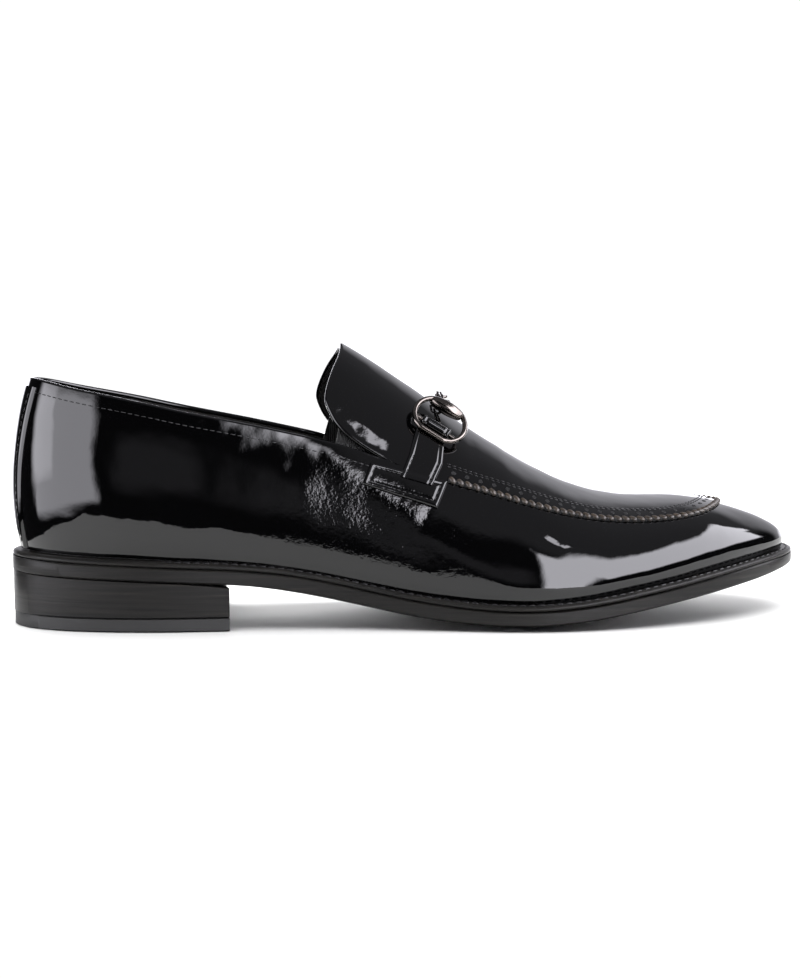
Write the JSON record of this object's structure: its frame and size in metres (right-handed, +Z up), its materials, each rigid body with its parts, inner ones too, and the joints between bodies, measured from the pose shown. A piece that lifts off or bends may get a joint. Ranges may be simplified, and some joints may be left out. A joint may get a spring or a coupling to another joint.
{
  "type": "bit loafer",
  "caption": "Right-foot slip-on dress loafer with a raised apron seam, elastic gores, a ring-and-chain bit over the instep and a low stacked heel.",
  "frame": {"origin": "centre of the bottom of the shoe's bounding box, on the floor that it stands on", "axes": "+X from heel to toe along the sole, +Y towards the inner (medial) side of this right shoe, +Z up"},
  "size_m": [0.302, 0.1018, 0.1033],
  "materials": {
    "patent_leather": "black patent, mirror gloss",
    "braid_leather": "bronze-brown glazed lacing",
    "elastic": "black ribbed elastic",
    "lining_leather": "black matte lining leather",
    "sole_leather": "black dressed edge, satin",
    "heel_rubber": "black, matte",
    "gunmetal": "dark polished gunmetal with a bronze tint"
  },
  "bodies": {
    "root": {"upper": "patent_leather", "backstay": "patent_leather", "apron_braid": "braid_leather", "gore_lateral": "elastic", "gore_medial": "elastic", "strap_lateral": "patent_leather", "strap_medial": "patent_leather", "bit_ring_lateral": "gunmetal", "bit_ring_medial": "gunmetal", "bit_barrel_lateral": "gunmetal", "bit_barrel_medial": "gunmetal", "bit_link_1": "gunmetal", "bit_link_2": "gunmetal", "bit_link_3": "gunmetal", "bit_link_4": "gunmetal", "bit_link_5": "gunmetal", "insole": "lining_leather", "welt": "sole_leather", "outsole": "sole_leather", "heel_stack": "sole_leather", "top_lift": "heel_rubber"}
  },
  "joints": []
}
